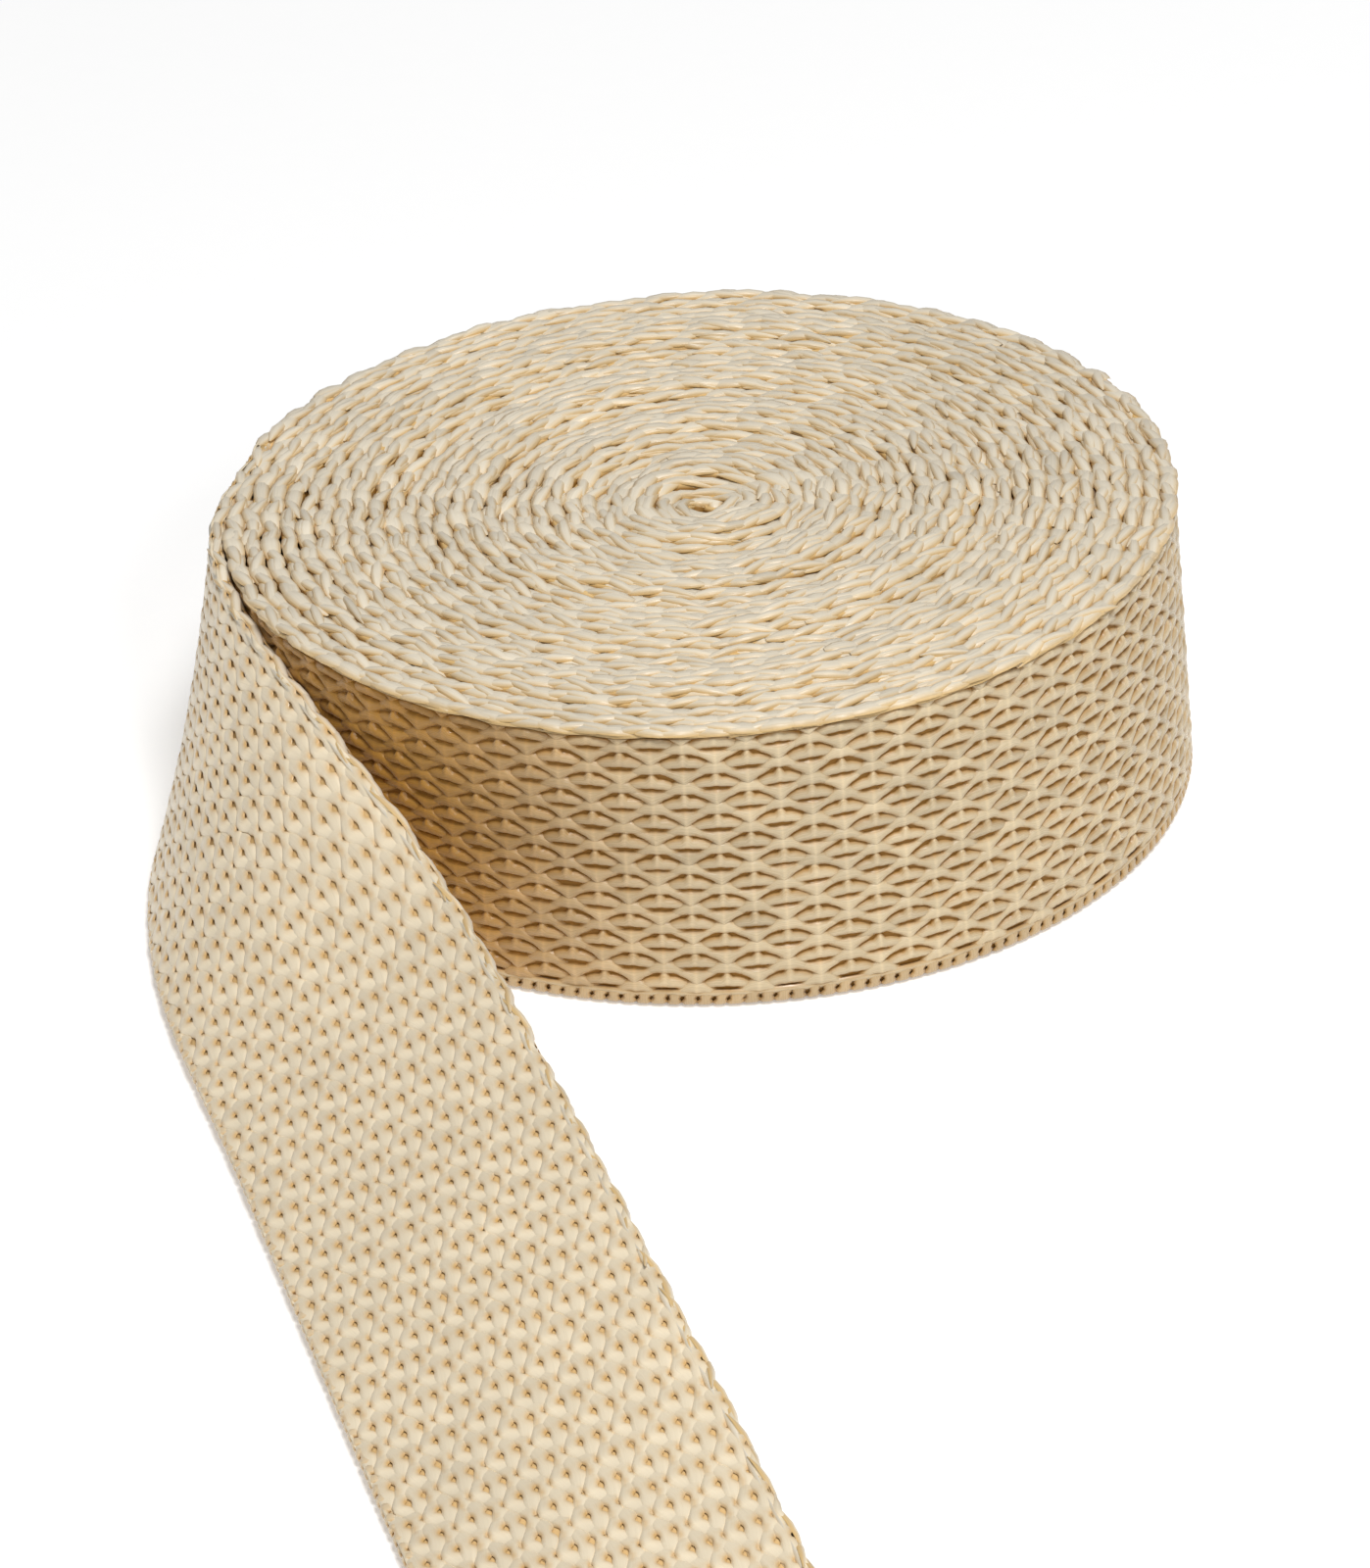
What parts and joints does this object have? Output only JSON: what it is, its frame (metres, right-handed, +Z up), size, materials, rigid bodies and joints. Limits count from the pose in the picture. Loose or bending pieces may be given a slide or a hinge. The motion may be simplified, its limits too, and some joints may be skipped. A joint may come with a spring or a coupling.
{
  "type": "roll of webbing",
  "caption": "Flat-lying roll of beige woven polypropylene webbing with a loose end that twists down and lies on the floor.",
  "frame": {"origin": "middle of the roll's underside, on the surface that it lies on", "axes": "+Z up along the roll's axis; the loose end leaves on the -X side and runs towards -Y"},
  "size_m": [0.086, 0.1911, 0.0254],
  "materials": {
    "wound_webbing": "woven polypropylene, beige, satin yarns",
    "loose_webbing": "woven polypropylene, beige, satin yarns"
  },
  "bodies": {
    "root": {"webbing_roll": "wound_webbing", "loose_end": "loose_webbing"}
  },
  "joints": []
}
